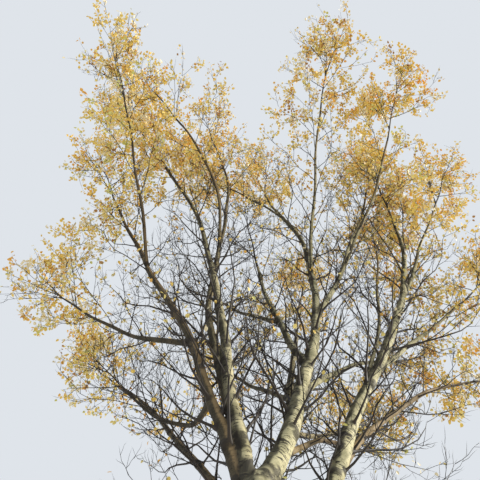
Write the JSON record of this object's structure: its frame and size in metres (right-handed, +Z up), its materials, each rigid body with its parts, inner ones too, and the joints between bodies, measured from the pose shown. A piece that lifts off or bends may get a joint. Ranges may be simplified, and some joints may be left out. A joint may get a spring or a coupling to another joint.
{
  "type": "poplar tree",
  "caption": "Broad poplar in late autumn: one flared trunk that forks low into a fan of pale stems and long boughs, with a thin open crown of golden leaves.",
  "frame": {"origin": "centre of the flat cut under the trunk, at ground level", "axes": "+Z straight up; +X to the viewer's right and +Y away from the viewer in the picture"},
  "size_m": [10.0697, 8.5101, 15.1243],
  "materials": {
    "bark": "pale cream-grey poplar bark with dark cross marks, greyer and fissured at the foot, dark and smooth on thin boughs",
    "foliage": "golden autumn leaves in sprays on dark thin twigs"
  },
  "bodies": {
    "root": {"bough_centre_left": "bark", "bough_centre_low": "bark", "bough_centre_low_left": "bark", "bough_centre_right": "bark", "bough_far_left": "bark", "bough_far_right": "bark", "bough_far_side": "bark", "bough_far_top": "bark", "bough_inner_near": "bark", "bough_inner_top": "bark", "bough_left_inner": "bark", "bough_left_low": "bark", "bough_left_near": "bark", "bough_left_side": "bark", "bough_left_top": "bark", "bough_outer_left_top": "bark", "bough_right_inner": "bark", "bough_right_low": "bark", "bough_right_near": "bark", "bough_right_outer": "bark", "bough_right_side": "bark", "bough_right_thin": "bark", "bough_right_top": "bark", "foliage_bough_centre_left": "foliage", "foliage_bough_centre_low": "foliage", "foliage_bough_centre_low_left": "foliage", "foliage_bough_centre_right": "foliage", "foliage_bough_far_left": "foliage", "foliage_bough_far_right": "foliage", "foliage_bough_far_side": "foliage", "foliage_bough_far_top": "foliage", "foliage_bough_inner_near": "foliage", "foliage_bough_inner_top": "foliage", "foliage_bough_left_low": "foliage", "foliage_bough_left_near": "foliage", "foliage_bough_left_side": "foliage", "foliage_bough_left_top": "foliage", "foliage_bough_outer_left_top": "foliage", "foliage_bough_right_inner": "foliage", "foliage_bough_right_low": "foliage", "foliage_bough_right_near": "foliage", "foliage_bough_right_outer": "foliage", "foliage_bough_right_side": "foliage", "foliage_bough_right_thin": "foliage", "foliage_bough_right_top": "foliage", "foliage_leader_left": "foliage", "foliage_leader_near": "foliage", "foliage_leader_top": "foliage", "leader": "bark", "leader_left": "bark", "leader_near": "bark", "leader_top": "bark", "stem_centre": "bark", "stem_far": "bark", "stem_left": "bark", "stem_outer_left": "bark", "stem_right": "bark", "trunk": "bark"}
  },
  "joints": []
}
